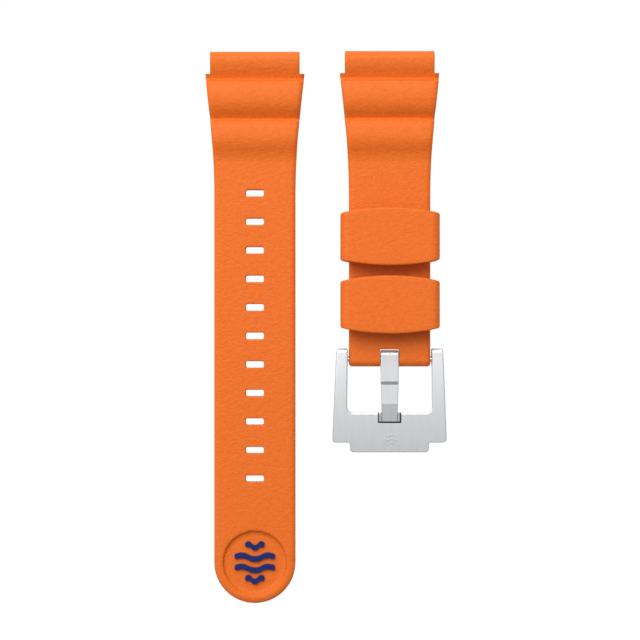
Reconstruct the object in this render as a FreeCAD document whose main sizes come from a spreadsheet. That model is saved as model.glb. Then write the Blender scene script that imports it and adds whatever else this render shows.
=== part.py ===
import FreeCAD, Part

import os
import re

import Sketcher

# A two-piece rubber strap for a dive watch with 22 mm lugs, lying flat with its outer face up.
# Millimetres. X is across the strap, Y along it with the lug ends at +Y, Z up from the surface
# it lies on. The origin is under the middle of the whole. Both halves have their lug ends on one
# line: the long half, with the holes, is at -X, and the short half, with the buckle, at +X.

# Every size is a plain number in the document's sheet, and each feature below is bound to these.
SIZES = {
    # both halves
    "halves_pitch": 33.0,
    "strap_width": 19.9,
    "strap_thickness": 3.2,
    # lug end: a tongue between the lugs, shoulders, then two waves
    "tongue_width": 21.9,
    "tongue_length": 5.5,
    "tongue_radius": 2.15,
    "tongue_top_radius": 7.0,
    "tongue_top_end": 4.9,
    "lug_bore_radius": 1.0,
    "shoulder_step": 1.2,
    "taper_length": 10.8,
    "blend_drop": 1.05,
    "foot_one": 7.0,
    "brow_one": 7.6,
    "crest_one": 11.5,
    "crest_one_height": 5.0,
    "crest_one_radius": 7.4,
    "back_one": 15.2,
    "foot_two": 16.7,
    "brow_two": 17.3,
    "crest_two": 21.0,
    "crest_two_height": 4.7,
    "crest_two_radius": 7.0,
    "back_two": 24.2,
    "wave_end": 26.1,
    "wave_end_radius": 4.6,
    "crest_front_radius": 13.0,
    "foot_round": 0.8,
    "brow_round": 0.35,
    "bellows_half_width": 2.9,
    "bellows_radius": 4.0,
    # long half
    "long_length": 135.2,
    "first_hole": 34.7,
    "hole_pitch": 7.0,
    "hole_count": 11,
    "hole_width": 4.4,
    "hole_height": 1.6,
    "hole_corner": 0.45,
    "recess_diameter": 15.4,
    "recess_depth": 0.6,
    "emblem_diameter": 10.7,
    "emblem_pitch": 2.75,
    "emblem_bar": 1.35,
    "emblem_rise": 0.75,
    "emblem_wave": 0.45,
    "emblem_corner": 0.4,
    "emblem_round": 0.15,
    # short half
    "short_length": 77.2,
    "bar_from_end": 1.8,
    "slot_width": 4.65,
    "eye_gap": 0.2,
    "end_corner": 0.8,
    # keepers
    "keeper_wall": 1.9,
    "keeper_length": 14.1,
    "keeper_side_length": 11.5,
    "keeper_floor": 1.3,
    "keeper_roof": 1.5,
    "keeper_side_gap": 0.2,
    "keeper_under_gap": 0.1,
    "keeper_over_gap": 0.3,
    "keeper_corner": 1.9,
    "keeper_start": 2.42,
    "keeper_space": 2.4,
    # spring bar of the buckle
    "tube_radius": 0.9,
    "tube_bore_radius": 0.67,
    "push_room": 1.3,
    "tube_crimp": 0.4,
    "bar_gap": 0.05,
    "pin_radius": 0.45,
    "pin_reach": 1.2,
    "pin_head_radius": 0.6,
    "pin_head_length": 0.8,
    "flange_radius": 0.75,
    "flange_thickness": 0.5,
    "flange_gap": 0.1,
    "coil_radius": 0.46,
    "coil_wire_radius": 0.1,
    "coil_turns": 18,
    # buckle frame, measured from the spring bar
    "frame_side_gap": 0.3,
    "leg_width": 2.7,
    "leg_flare": 1.1,
    "window_flare": 0.1,
    "window_corner": 1.6,
    "leg_top": 2.67,
    "leg_half_height": 2.1,
    "leg_end_round": 1.0,
    "bar_inner": 13.1,
    "bar_outer": 20.5,
    "lip_end": 22.9,
    "lip_step": 4.35,
    "lip_corner": 0.9,
    "lip_thickness": 2.3,
    "frame_corner": 1.0,
    "frame_arch": 1.0,
    "frame_edge_round": 0.35,
    "leg_hole_depth": 1.4,
    "notch_side_gap": 0.8,
    "notch_end_gap": 0.2,
    # tang
    "tang_side_gap": 0.125,
    "tang_taper": 0.3,
    "tang_reach": 15.25,
    "eye_radius": 2.2,
    "tang_top": 1.75,
    "tang_end_round": 1.2,
    "tang_step_start": 5.4,
    "tang_step_end": 6.2,
    "tang_step_drop": 0.5,
    "tang_facet": 10.9,
    "tang_tip_top": 0.35,
    "tang_tip_bottom": 0.75,
    "tang_rest_gap": 0.06,
    "tang_edge_round": 0.2,
}

# Values that follow from the sizes above.
WINDOW_TOP_WIDTH = "(strap_width + 2 * frame_side_gap)"
WINDOW_FOOT_WIDTH = f"({WINDOW_TOP_WIDTH} + 2 * window_flare)"
FRAME_TOP_WIDTH = f"({WINDOW_TOP_WIDTH} + 2 * leg_width)"
FRAME_FOOT_WIDTH = f"({FRAME_TOP_WIDTH} + 2 * leg_flare)"
SHOULDER_WIDTH = "(tongue_width + 2 * shoulder_step)"
LONG_X = f"-halves_pitch / 2 - ({FRAME_FOOT_WIDTH} - {SHOULDER_WIDTH}) / 4"
SHORT_X = f"halves_pitch / 2 - ({FRAME_FOOT_WIDTH} - {SHOULDER_WIDTH}) / 4"
LUG_Y = "long_length / 2"
LIFT = "(keeper_floor + keeper_under_gap)"
BAR_Y = "(long_length / 2 - short_length + bar_from_end)"
BAR_Z = "(keeper_floor + keeper_under_gap + strap_thickness / 2)"
BAR_BORE = "(tube_radius + bar_gap)"
KEEPER_WINDOW_WIDTH = "(strap_width + 2 * keeper_side_gap)"
KEEPER_WIDTH = f"({KEEPER_WINDOW_WIDTH} + 2 * keeper_wall)"
KEEPER_WINDOW_TOP = "(keeper_floor + keeper_under_gap + 2 * strap_thickness + keeper_over_gap)"
MARGIN = 2.0

document = FreeCAD.newDocument("dive_watch_strap")
sheet = document.addObject("Spreadsheet::Sheet", "sizes")


def fill_sheet():
    """One row for each size: its name, and its value in a cell with that name as its alias."""
    for row, (name, value) in enumerate(SIZES.items(), start=1):
        sheet.set(f"A{row}", name)
        sheet.set(f"B{row}", str(value))
        sheet.setAlias(f"B{row}", name)
    document.recompute()


def formula(text):
    """The text as an expression, with each size's name pointing at its cell."""
    return re.sub(r"[a-z_]+", lambda word: cell_or_word(word.group()), text)


def cell_or_word(word):
    return f"sizes.{word}" if word in SIZES else word


def value_of(text):
    """What a formula comes to, as a float."""
    return float(sheet.evalExpression(formula(text)))


def bind(thing, **formulas):
    """Binds properties to formulas. A double underscore in a name stands for a dot."""
    for name, text in formulas.items():
        thing.setExpression(name.replace("__", "."), formula(text))


def new_body(name, x="0", y="0", z="0"):
    """A body whose Label names its file, with its Placement bound to formulas."""
    body = document.addObject("PartDesign::Body", name)
    body.Label = name
    bind(body, Placement__Base__x=x, Placement__Base__y=y, Placement__Base__z=z)
    return body


def origin_part(body, role):
    return next(part for part in body.Origin.OriginFeatures if part.Role == role)


def new_sketch(body, role, name):
    """A sketch on one of the body's origin planes. On YZ_Plane, it is drawn in Y and Z, on
    XZ_Plane in X and Z, and on XY_Plane in X and Y."""
    sketch = body.newObject("Sketcher::SketchObject", name)
    sketch.AttachmentSupport = [(origin_part(body, role), "")]
    sketch.MapMode = "FlatFace"
    return sketch


def constrain(sketch, kind, *where, text):
    """Adds a dimension to the sketch and binds it to a formula."""
    index = sketch.addConstraint(Sketcher.Constraint(kind, *where, value_of(text)))
    sketch.setExpression(f"Constraints[{index}]", formula(text))


def arc_between(start, end, radius, turn):
    """The arc of at most a half turn from start to end, to the left (turn 1) or right (turn -1)."""
    chord = end - start
    middle = (start + end) / 2
    across = FreeCAD.Vector(-chord.y, chord.x, 0) / chord.Length
    reach = max(radius**2 - (chord.Length / 2) ** 2, 0) ** 0.5
    centre = middle + across * (turn * reach)
    crown = centre - across * (turn * radius)
    return Part.Arc(start, crown, end)


def outline(sketch, corners):
    """Draws one closed outline. Each corner is (x, y), and the edge that leaves it is a line, or
    is an arc when a radius and a turn follow: (x, y, radius, 1 for left or -1 for right)."""
    points = [FreeCAD.Vector(value_of(corner[0]), value_of(corner[1]), 0) for corner in corners]
    first = sketch.GeometryCount
    ends = []
    for index, corner in enumerate(corners):
        start = points[index]
        end = points[(index + 1) % len(points)]
        if len(corner) == 2:
            sketch.addGeometry(Part.LineSegment(start, end), False)
            ends.append((1, 2))
        else:
            sketch.addGeometry(arc_between(start, end, value_of(corner[2]), corner[3]), False)
            ends.append((1, 2) if corner[3] == 1 else (2, 1))
    for index, corner in enumerate(corners):
        edge = first + index
        before = first + (index - 1) % len(corners)
        joint = (before, ends[index - 1][1], edge, ends[index][0])
        sketch.addConstraint(Sketcher.Constraint("Coincident", *joint))
        constrain(sketch, "DistanceX", -1, 1, edge, ends[index][0], text=corner[0])
        constrain(sketch, "DistanceY", -1, 1, edge, ends[index][0], text=corner[1])
        if len(corner) == 4:
            constrain(sketch, "Radius", edge, text=corner[2])


def circle(sketch, x, y, radius):
    centre = FreeCAD.Vector(value_of(x), value_of(y), 0)
    normal = FreeCAD.Vector(0, 0, 1)
    edge = sketch.addGeometry(Part.Circle(centre, normal, value_of(radius)), False)
    constrain(sketch, "DistanceX", -1, 1, edge, 3, text=x)
    constrain(sketch, "DistanceY", -1, 1, edge, 3, text=y)
    constrain(sketch, "Radius", edge, text=radius)


def rectangle(left, bottom, right, top):
    return [(left, bottom), (right, bottom), (right, top), (left, top)]


def rounded_rectangle(left, bottom, right, top, radius):
    """Corners for outline(), counter-clockwise, with a quarter arc at each corner."""
    return [
        (f"{left} + {radius}", bottom),
        (f"{right} - {radius}", bottom, radius, 1),
        (right, f"{bottom} + {radius}"),
        (right, f"{top} - {radius}", radius, 1),
        (f"{right} - {radius}", top),
        (f"{left} + {radius}", top, radius, 1),
        (left, f"{top} - {radius}"),
        (left, f"{bottom} + {radius}", radius, 1),
    ]


def mirrored(half):
    """A closed outline, symmetric about x = 0, from its right half, which runs counter-clockwise.
    Lines join the two halves, unless the right half starts on x = 0."""
    left = []
    for index in range(len(half) - 1, 0, -1):
        left.append((negative(half[index][0]), half[index][1], *half[index - 1][2:]))
    if half[0][0] != "0":
        left.append((negative(half[0][0]), half[0][1]))
    return list(half) + left


def negative(text):
    return f"-({text})"


def pad(body, sketch, name, length):
    """Pads a sketch equally to both sides of its plane."""
    feature = body.newObject("PartDesign::Pad", name)
    feature.Profile = sketch
    feature.SideType = "Symmetric"
    bind(feature, Length=length)
    document.recompute()
    return feature


def cut(body, sketch, name, length=None):
    """Pockets a sketch to both sides of its plane, over a length or right through."""
    volume = body.Shape.Volume
    feature = body.newObject("PartDesign::Pocket", name)
    feature.Profile = sketch
    feature.SideType = "Symmetric"
    if length:
        bind(feature, Length=length)
    else:
        feature.Type = "ThroughAll"
    document.recompute()
    check_smaller(body, volume, name)
    return feature


def check_smaller(body, volume, name):
    if body.Shape.Volume >= volume:
        raise RuntimeError(f"{name} of {body.Label} cuts nothing")


def cut_from_plane(body, plane_offset, sketch, name, depth):
    """Pockets a sketch downwards from a height above its plane."""
    volume = body.Shape.Volume
    bind(sketch, AttachmentOffset__Base__z=plane_offset)
    feature = body.newObject("PartDesign::Pocket", name)
    feature.Profile = sketch
    bind(feature, Length=depth)
    document.recompute()
    check_smaller(body, volume, name)
    return feature


def trim_to(body, name, corners):
    """Cuts away everything outside a plan outline."""
    sketch = new_sketch(body, "XY_Plane", f"{name}_outline")
    box = body.Shape.BoundBox
    reach = str(max(box.XLength, box.YLength) + 2 * MARGIN)
    outline(sketch, rectangle(f"-{reach}", f"-2 * {reach}", reach, reach))
    outline(sketch, corners)
    return cut(body, sketch, name)


def round_edges(body, name, radius, chosen):
    """Rounds the edges of the body's tip that chosen() picks."""
    document.recompute()
    base = body.Tip
    edges = [f"Edge{n}" for n, edge in enumerate(base.Shape.Edges, start=1) if chosen(edge)]
    if not edges:
        raise RuntimeError(f"{name} of {body.Label} finds no edges")
    feature = body.newObject("PartDesign::Fillet", name)
    feature.Base = (base, edges)
    bind(feature, Radius=radius)
    document.recompute()
    if "Invalid" in feature.State:
        raise RuntimeError(f"{name} of {body.Label} can't be rounded")
    return feature


def crosswise_at(y, z):
    """Picks the straight edges along X that lie at y, z in the body."""
    middle = FreeCAD.Vector(0, value_of(y), value_of(z))

    def chosen(edge):
        box = edge.BoundBox
        offset = box.Center - middle
        return box.YLength < 0.001 and box.ZLength < 0.001 and abs(offset.y) < 0.01 and abs(offset.z) < 0.01

    return chosen


def upright_ends(body):
    """Picks the edges along Z at the two ends of the body's tip in X."""
    reach = body.Tip.Shape.BoundBox.XMax

    def chosen(edge):
        box = edge.BoundBox
        return box.XLength < 0.001 and box.YLength < 0.001 and abs(box.Center.x) > reach - 0.01

    return chosen


def lengthwise(edge):
    """Picks the edges that bound the piece's two sides."""
    return edge.BoundBox.YLength > 0.01 or edge.BoundBox.ZLength > 0.01


def arc_height(distance, radius):
    """How far an arc of this radius has dropped at this distance from its crown."""
    return f"({radius} - sqrt({radius}^2 - ({distance})^2))"


def arc_slope(distance, radius):
    return f"(({distance}) / sqrt({radius}^2 - ({distance})^2))"


# Heights of the lug end's outer face above the underside, at the named distances from its end.
TONGUE_RUN = "(tongue_top_end - tongue_radius)"
TONGUE_END_Z = f"(2 * tongue_radius - {arc_height(TONGUE_RUN, 'tongue_top_radius')})"
FOOT_ONE_Z = f"({TONGUE_END_Z} - (foot_one - tongue_top_end) * {arc_slope(TONGUE_RUN, 'tongue_top_radius')})"
BROW_ONE_Z = f"(crest_one_height - {arc_height('crest_one - brow_one', 'crest_front_radius')})"
BACK_ONE_Z = f"(crest_one_height - {arc_height('back_one - crest_one', 'crest_one_radius')})"
BACK_ONE_SLOPE = arc_slope("back_one - crest_one", "crest_one_radius")
FOOT_TWO_Z = f"({BACK_ONE_Z} - (foot_two - back_one) * {BACK_ONE_SLOPE})"
BROW_TWO_Z = f"(crest_two_height - {arc_height('crest_two - brow_two', 'crest_front_radius')})"
BACK_TWO_Z = f"(crest_two_height - {arc_height('back_two - crest_two', 'crest_two_radius')})"


def lug_end_profile(length, end_corners):
    """Side view of a strap half in Y and Z, clockwise from the underside of the tongue. The lug
    end is at y = 0, and the strap runs to y = -length."""
    return [
        ("-tongue_radius", "0", "tongue_radius", 1),
        ("0", "tongue_radius", "tongue_radius", 1),
        ("-tongue_radius", "2 * tongue_radius", "tongue_top_radius", 1),
        ("-tongue_top_end", TONGUE_END_Z),
        ("-foot_one", FOOT_ONE_Z),
        ("-brow_one", BROW_ONE_Z, "crest_front_radius", 1),
        ("-crest_one", "crest_one_height", "crest_one_radius", 1),
        ("-back_one", BACK_ONE_Z),
        ("-foot_two", FOOT_TWO_Z),
        ("-brow_two", BROW_TWO_Z, "crest_front_radius", 1),
        ("-crest_two", "crest_two_height", "crest_two_radius", 1),
        ("-back_two", BACK_TWO_Z, "wave_end_radius", -1),
        ("-wave_end", "strap_thickness"),
        *end_corners,
        ("-crest_two - bellows_half_width", "0", "bellows_radius", -1),
        ("-crest_two + bellows_half_width", "0"),
        ("-crest_one - bellows_half_width", "0", "bellows_radius", -1),
        ("-crest_one + bellows_half_width", "0"),
    ]


# Plan of the lug end: a straight taper from the shoulder, then an arc that ends along the strap.
TAPER_SLOPE = f"((({SHOULDER_WIDTH} - strap_width) / 2 - blend_drop) / taper_length)"
TAPER_ROOT = f"sqrt(1 + {TAPER_SLOPE}^2)"
BLEND_LENGTH = f"(blend_drop * ({TAPER_ROOT} + 1) / {TAPER_SLOPE})"
BLEND_RADIUS = f"(blend_drop * {TAPER_ROOT} / ({TAPER_ROOT} - 1))"
TAPER_END = f"(tongue_length + taper_length + {BLEND_LENGTH})"


def lug_end_plan(end_corners):
    """Plan outline of a strap half in X and Y. end_corners run from the right side's end to the
    middle of the strap's end."""
    right = [
        *end_corners,
        ("strap_width / 2", f"-{TAPER_END}", BLEND_RADIUS, -1),
        ("strap_width / 2 + blend_drop", "-tongue_length - taper_length"),
        (f"{SHOULDER_WIDTH} / 2", "-tongue_length"),
        ("tongue_width / 2", "-tongue_length"),
        ("tongue_width / 2", str(MARGIN)),
    ]
    return mirrored(right)


def new_strap_half(name, x, z, length, side_end, plan_end):
    """The rubber moulding that both halves share: waves, bellows, outline and lug bar bore."""
    body = new_body(name, x=x, y=LUG_Y, z=z)
    side = new_sketch(body, "YZ_Plane", f"{name}_side")
    outline(side, lug_end_profile(length, side_end))
    pad(body, side, f"{name}_slab", f"{SHOULDER_WIDTH} + 2 * {MARGIN}")
    round_edges(body, f"{name}_foot_one", "foot_round", crosswise_at("-foot_one", FOOT_ONE_Z))
    round_edges(body, f"{name}_foot_two", "foot_round", crosswise_at("-foot_two", FOOT_TWO_Z))
    round_edges(body, f"{name}_brow_one", "brow_round", crosswise_at("-brow_one", BROW_ONE_Z))
    round_edges(body, f"{name}_brow_two", "brow_round", crosswise_at("-brow_two", BROW_TWO_Z))
    trim_to(body, f"{name}_trim", lug_end_plan(plan_end))
    lug_bore = new_sketch(body, "YZ_Plane", f"{name}_lug_bore_circle")
    circle(lug_bore, "-tongue_radius", "tongue_radius", "lug_bore_radius")
    cut(body, lug_bore, f"{name}_lug_bore")
    return body


def make_long_strap():
    side_end = [("-long_length", "strap_thickness"), ("-long_length", "0")]
    plan_end = [
        ("0", "-long_length", "strap_width / 2", 1),
        ("strap_width / 2", "-long_length + strap_width / 2"),
    ]
    body = new_strap_half("long_strap", LONG_X, "0", "long_length", side_end, plan_end)
    hole = new_sketch(body, "XY_Plane", "hole_outline")
    half_width = "hole_width / 2"
    low = "-first_hole - hole_height / 2"
    high = "-first_hole + hole_height / 2"
    outline(hole, rounded_rectangle(f"-{half_width}", low, half_width, high, "hole_corner"))
    first = cut(body, hole, "hole")
    row = body.newObject("PartDesign::LinearPattern", "hole_row")
    row.Originals = [first]
    row.Direction = (origin_part(body, "Y_Axis"), [""])
    row.Reversed = True
    row.Mode = "Spacing"
    bind(row, Offset="hole_pitch", Occurrences="hole_count")
    body.Tip = row
    recess = new_sketch(body, "XY_Plane", "recess_circle")
    circle(recess, "0", "-long_length + strap_width / 2", "recess_diameter / 2")
    cut_from_plane(body, "strap_thickness", recess, "recess", "recess_depth")
    return body


def make_emblem_bar(number, count=4):
    """One raised wave of the round emblem: three arcs along each edge, ends cut square."""
    row = f"({number} - {(count + 1) / 2}) * emblem_pitch"
    reach = f"(sqrt((emblem_diameter / 2)^2 - (abs({row}) + emblem_bar / 2)^2))"
    floor = "strap_thickness - recess_depth"
    centre_y = f"-long_length / 2 + strap_width / 2 - {row}"
    body = new_body(f"emblem_bar_{number}", x=LONG_X, y=centre_y, z=floor)
    sketch = new_sketch(body, "XY_Plane", f"emblem_bar_{number}_wave")
    outline(sketch, wave_band(reach, "emblem_bar", "emblem_wave"))
    pad_up(body, sketch, f"emblem_bar_{number}_pad", "emblem_rise")
    round_edges(body, f"emblem_bar_{number}_corners", "emblem_corner", upright_ends(body))
    round_edges(body, f"emblem_bar_{number}_rim", "emblem_round", lambda edge: edge.BoundBox.ZMin > 0.01)
    return body


def wave_band(reach, thickness, wave):
    """A band of three arcs, alternately up and down, between x = -reach and x = reach."""
    third = f"({reach}) / 3"
    radius = f"((({third})^2 + {wave}^2) / (2 * {wave}))"
    low = f"-{thickness} / 2"
    high = f"{thickness} / 2"
    return [
        (f"-3 * {third}", low, radius, -1),
        (f"-{third}", low, radius, 1),
        (third, low, radius, -1),
        (f"3 * {third}", low),
        (f"3 * {third}", high, radius, 1),
        (third, high, radius, -1),
        (f"-{third}", high, radius, 1),
        (f"-3 * {third}", high),
    ]


def pad_up(body, sketch, name, height):
    feature = body.newObject("PartDesign::Pad", name)
    feature.Profile = sketch
    bind(feature, Length=height)
    document.recompute()
    return feature


def make_short_strap():
    end_radius = "strap_thickness / 2"
    side_end = [
        (f"-short_length + {end_radius}", "strap_thickness", end_radius, 1),
        ("-short_length", end_radius, end_radius, 1),
        (f"-short_length + {end_radius}", "0"),
    ]
    plan_end = [
        ("strap_width / 2 - end_corner", "-short_length", "end_corner", 1),
        ("strap_width / 2", "-short_length + end_corner"),
    ]
    body = new_strap_half("short_strap", SHORT_X, LIFT, "short_length", side_end, plan_end)
    slot = new_sketch(body, "XY_Plane", "tang_slot_outline")
    low = f"-short_length - {MARGIN}"
    high = "-short_length + bar_from_end + eye_radius + eye_gap"
    outline(slot, rectangle("-slot_width / 2", low, "slot_width / 2", high))
    cut(body, slot, "tang_slot")
    bore = new_sketch(body, "YZ_Plane", "bar_bore_circle")
    circle(bore, "-short_length + bar_from_end", "strap_thickness / 2", BAR_BORE)
    cut(body, bore, "bar_bore")
    return body


def make_keeper(name, number):
    """A closed band whose lengthwise ends bow outwards, with a window for two straps."""
    first = f"({TAPER_END} + keeper_start + keeper_length / 2)"
    y = f"{LUG_Y} - {first} - {number} * (keeper_length + keeper_space)"
    body = new_body(name, x=SHORT_X, y=y)
    band = new_sketch(body, "XZ_Plane", f"{name}_band")
    half = f"{KEEPER_WIDTH} / 2"
    top = f"{KEEPER_WINDOW_TOP} + keeper_roof"
    outline(band, rounded_rectangle(f"-{half}", "0", half, top, "keeper_corner"))
    pad(body, band, f"{name}_block", f"keeper_length + 2 * {MARGIN}")
    window = new_sketch(body, "XZ_Plane", f"{name}_window_outline")
    side = f"{KEEPER_WINDOW_WIDTH} / 2"
    outline(window, rectangle(f"-{side}", "keeper_floor", side, KEEPER_WINDOW_TOP))
    cut(body, window, f"{name}_window")
    bow = "((keeper_length - keeper_side_length) / 2)"
    bow_radius = f"((({half})^2 + {bow}^2) / (2 * {bow}))"
    ends = [
        (f"-{half}", "-keeper_side_length / 2", bow_radius, 1),
        (half, "-keeper_side_length / 2"),
        (half, "keeper_side_length / 2", bow_radius, 1),
        (f"-{half}", "keeper_side_length / 2"),
    ]
    trim_to(body, f"{name}_trim", ends)
    return body


def bar_body(name):
    """A body of the spring bar, whose own X axis is the bar's axis."""
    return new_body(name, x=SHORT_X, y=BAR_Y, z=BAR_Z)


def turned(body, name, corners):
    """Turns an outline in X and Y about the body's X axis."""
    sketch = new_sketch(body, "XY_Plane", f"{name}_half")
    outline(sketch, corners)
    feature = body.newObject("PartDesign::Revolution", name)
    feature.Profile = sketch
    feature.ReferenceAxis = (origin_part(body, "X_Axis"), [""])
    feature.Angle = 360
    document.recompute()
    return feature


# Distances from the middle of the spring bar.
LEG_IN = f"({WINDOW_TOP_WIDTH} / 2)"
FLANGE_OUT = f"({LEG_IN} - flange_gap)"
TUBE_END = f"({FLANGE_OUT} - flange_thickness - push_room)"
CRIMP_IN = f"({TUBE_END} - tube_crimp)"
HEAD_OUT = f"({CRIMP_IN} - bar_gap)"


def make_spring_bar_tube():
    """A tube whose ends are rolled in over the tips' heads."""
    body = bar_body("spring_bar_tube")
    lip = "pin_radius + bar_gap"
    half = [
        (TUBE_END, lip),
        (TUBE_END, "tube_radius"),
        (f"-{TUBE_END}", "tube_radius"),
        (f"-{TUBE_END}", lip),
        (f"-{CRIMP_IN}", lip),
        (f"-{CRIMP_IN}", "tube_bore_radius"),
        (CRIMP_IN, "tube_bore_radius"),
        (CRIMP_IN, lip),
    ]
    turned(body, "tube_wall", half)


def make_spring_bar_tip(name, side):
    """A sprung tip: a head inside the tube, a shank, a flange and the pin that fills a leg's hole."""
    body = bar_body(name)

    def at(x):
        return f"{side} * ({x})"

    head_in = f"{HEAD_OUT} - pin_head_length"
    pin_out = f"{LEG_IN} + pin_reach"
    half = [
        (at(head_in), "0"),
        (at(head_in), "pin_head_radius"),
        (at(HEAD_OUT), "pin_head_radius"),
        (at(HEAD_OUT), "pin_radius"),
        (at(f"{FLANGE_OUT} - flange_thickness"), "pin_radius"),
        (at(f"{FLANGE_OUT} - flange_thickness"), "flange_radius"),
        (at(FLANGE_OUT), "flange_radius"),
        (at(FLANGE_OUT), "pin_radius"),
        (at(pin_out), "pin_radius"),
        (at(pin_out), "0"),
    ]
    turned(body, f"{name}_turned", half)


def make_spring_bar_coil():
    """The coil that pushes the two tips apart, wound about the bar's axis."""
    body = bar_body("spring_bar_coil")
    reach = f"({HEAD_OUT} - pin_head_length - bar_gap - coil_wire_radius)"
    wire = new_sketch(body, "XY_Plane", "coil_wire")
    circle(wire, f"-{reach}", "coil_radius", "coil_wire_radius")
    coil = body.newObject("PartDesign::AdditiveHelix", "coil")
    coil.Profile = wire
    coil.ReferenceAxis = (origin_part(body, "X_Axis"), [""])
    coil.Mode = "height-turns-angle"
    bind(coil, Height=f"2 * {reach}", Turns="coil_turns")
    document.recompute()


# The frame's side view: a level outer face at the legs that falls away to the lip.
LEG_ROUND_START = "(leg_top - leg_end_round)"
LIP_TOP = f"(-{BAR_Z} + lip_thickness)"
TOP_RUN = f"({LEG_ROUND_START} + lip_end)"
TOP_FALL = f"(leg_half_height - {LIP_TOP})"
TOP_RADIUS = f"(({TOP_RUN}^2 + {TOP_FALL}^2) / (2 * {TOP_FALL}))"
UNDER_CHORD = f"sqrt({TOP_RUN}^2 + ({BAR_Z} - leg_half_height)^2)"
UNDER_RADIUS = f"(({UNDER_CHORD}^2 / 4 + frame_arch^2) / (2 * frame_arch))"


def frame_plan():
    """Outer plan outline of the buckle frame from its right half, with the lip at the bottom."""
    half_foot = f"{FRAME_FOOT_WIDTH} / 2"
    half_lip = f"({half_foot} - lip_step)"
    right = [
        (f"{half_lip} - lip_corner", "-lip_end", "lip_corner", 1),
        (half_lip, "-lip_end + lip_corner"),
        (half_lip, "-bar_outer"),
        (f"{half_foot} - frame_corner", "-bar_outer", "frame_corner", 1),
        (half_foot, "-bar_outer + frame_corner"),
        (f"{FRAME_TOP_WIDTH} / 2", f"leg_top + {MARGIN}"),
    ]
    return mirrored(right)


def make_buckle_frame():
    body = bar_body("buckle_frame")
    side = new_sketch(body, "YZ_Plane", "frame_side")
    profile = [
        (LEG_ROUND_START, "-leg_half_height", "leg_end_round", 1),
        ("leg_top", "-leg_half_height + leg_end_round"),
        ("leg_top", "leg_half_height - leg_end_round", "leg_end_round", 1),
        (LEG_ROUND_START, "leg_half_height", TOP_RADIUS, 1),
        ("-lip_end", LIP_TOP),
        ("-lip_end", f"-{BAR_Z}", UNDER_RADIUS, -1),
    ]
    outline(side, profile)
    pad(body, side, "frame_slab", f"{FRAME_FOOT_WIDTH} + 2 * {MARGIN}")
    trim_to(body, "frame_trim", frame_plan())
    window = new_sketch(body, "XY_Plane", "frame_window_outline")
    half_foot = f"{WINDOW_FOOT_WIDTH} / 2"
    right = [
        (f"{half_foot} - window_corner", "-bar_inner", "window_corner", 1),
        (half_foot, "-bar_inner + window_corner"),
        (LEG_IN, "0"),
        (LEG_IN, f"leg_top + {MARGIN}"),
    ]
    outline(window, mirrored(right))
    cut(body, window, "frame_window")
    round_edges(body, "frame_edges", "frame_edge_round", lambda edge: True)
    holes = new_sketch(body, "YZ_Plane", "leg_hole_circle")
    circle(holes, "0", "0", "pin_radius + bar_gap")
    cut(body, holes, "leg_holes", f"{WINDOW_TOP_WIDTH} + 2 * leg_hole_depth")
    notch = new_sketch(body, "XY_Plane", "notch_outline")
    side = f"({TANG_TIP_WIDTH} / 2 + notch_side_gap)"
    outline(notch, rectangle(f"-{side}", "-tang_reach - notch_end_gap", side, "-bar_inner + window_corner"))
    depth = "leg_half_height + tang_tip_bottom + tang_rest_gap"
    cut_from_plane(body, "leg_half_height", notch, "notch", depth)
    return body


TANG_WIDTH = "(slot_width - 2 * tang_side_gap)"
TANG_TIP_WIDTH = f"({TANG_WIDTH} - 2 * tang_taper)"


def make_buckle_tang():
    body = bar_body("buckle_tang")
    side = new_sketch(body, "YZ_Plane", "tang_side")
    flank_top = "tang_top - tang_step_drop"
    profile = [
        ("0", "-eye_radius", "eye_radius", 1),
        ("eye_radius", "0"),
        ("eye_radius", "tang_top - tang_end_round", "tang_end_round", 1),
        ("eye_radius - tang_end_round", "tang_top"),
        ("-tang_step_start", "tang_top"),
        ("-tang_step_end", flank_top),
        ("-tang_facet", flank_top),
        ("-tang_reach", "tang_tip_top"),
        ("-tang_reach", "-tang_tip_bottom"),
        ("-2 * eye_radius", "-tang_tip_bottom"),
    ]
    outline(side, profile)
    pad(body, side, "tang_slab", f"{TANG_WIDTH} + 2 * {MARGIN}")
    right = [
        (f"{TANG_TIP_WIDTH} / 2", f"-tang_reach - {MARGIN}"),
        (f"{TANG_TIP_WIDTH} / 2", "-tang_reach"),
        (f"{TANG_WIDTH} / 2", "-tang_step_start"),
        (f"{TANG_WIDTH} / 2", f"eye_radius + {MARGIN}"),
    ]
    trim_to(body, "tang_trim", mirrored(right))
    round_edges(body, "tang_edges", "tang_edge_round", lengthwise)
    bore = new_sketch(body, "YZ_Plane", "tang_bore_circle")
    circle(bore, "0", "0", BAR_BORE)
    cut(body, bore, "tang_bore")
    return body


def problems():
    """Every object that failed, and every sub-part with a null, invalid or split shape."""
    found = []
    for thing in document.Objects:
        if "Invalid" in thing.State or "Error" in thing.State:
            found.append(f"{thing.Name}: {thing.State}")
    for body in sub_parts():
        if body.Shape.isNull() or not body.Shape.isValid() or len(body.Shape.Solids) != 1:
            found.append(f"{body.Label}: not one valid solid")
    return found


def sub_parts():
    return [thing for thing in document.Objects if thing.TypeId == "PartDesign::Body"]


def export_parts():
    os.makedirs("parts", exist_ok=True)
    for body in sub_parts():
        body.Shape.exportStep(f"parts/{body.Label}.step")
        print(f"{body.Label}: {body.Shape.Volume:.2f} mm3")


fill_sheet()
make_long_strap()
for bar_number in (1, 2, 3, 4):
    make_emblem_bar(bar_number)
make_short_strap()
make_keeper("keeper_upper", 0)
make_keeper("keeper_lower", 1)
make_spring_bar_tube()
make_spring_bar_tip("spring_bar_tip_left", "-1")
make_spring_bar_tip("spring_bar_tip_right", "1")
make_spring_bar_coil()
make_buckle_frame()
make_buckle_tang()
document.recompute()
faults = problems()
if faults:
    raise RuntimeError("; ".join(faults))
export_parts()
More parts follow.
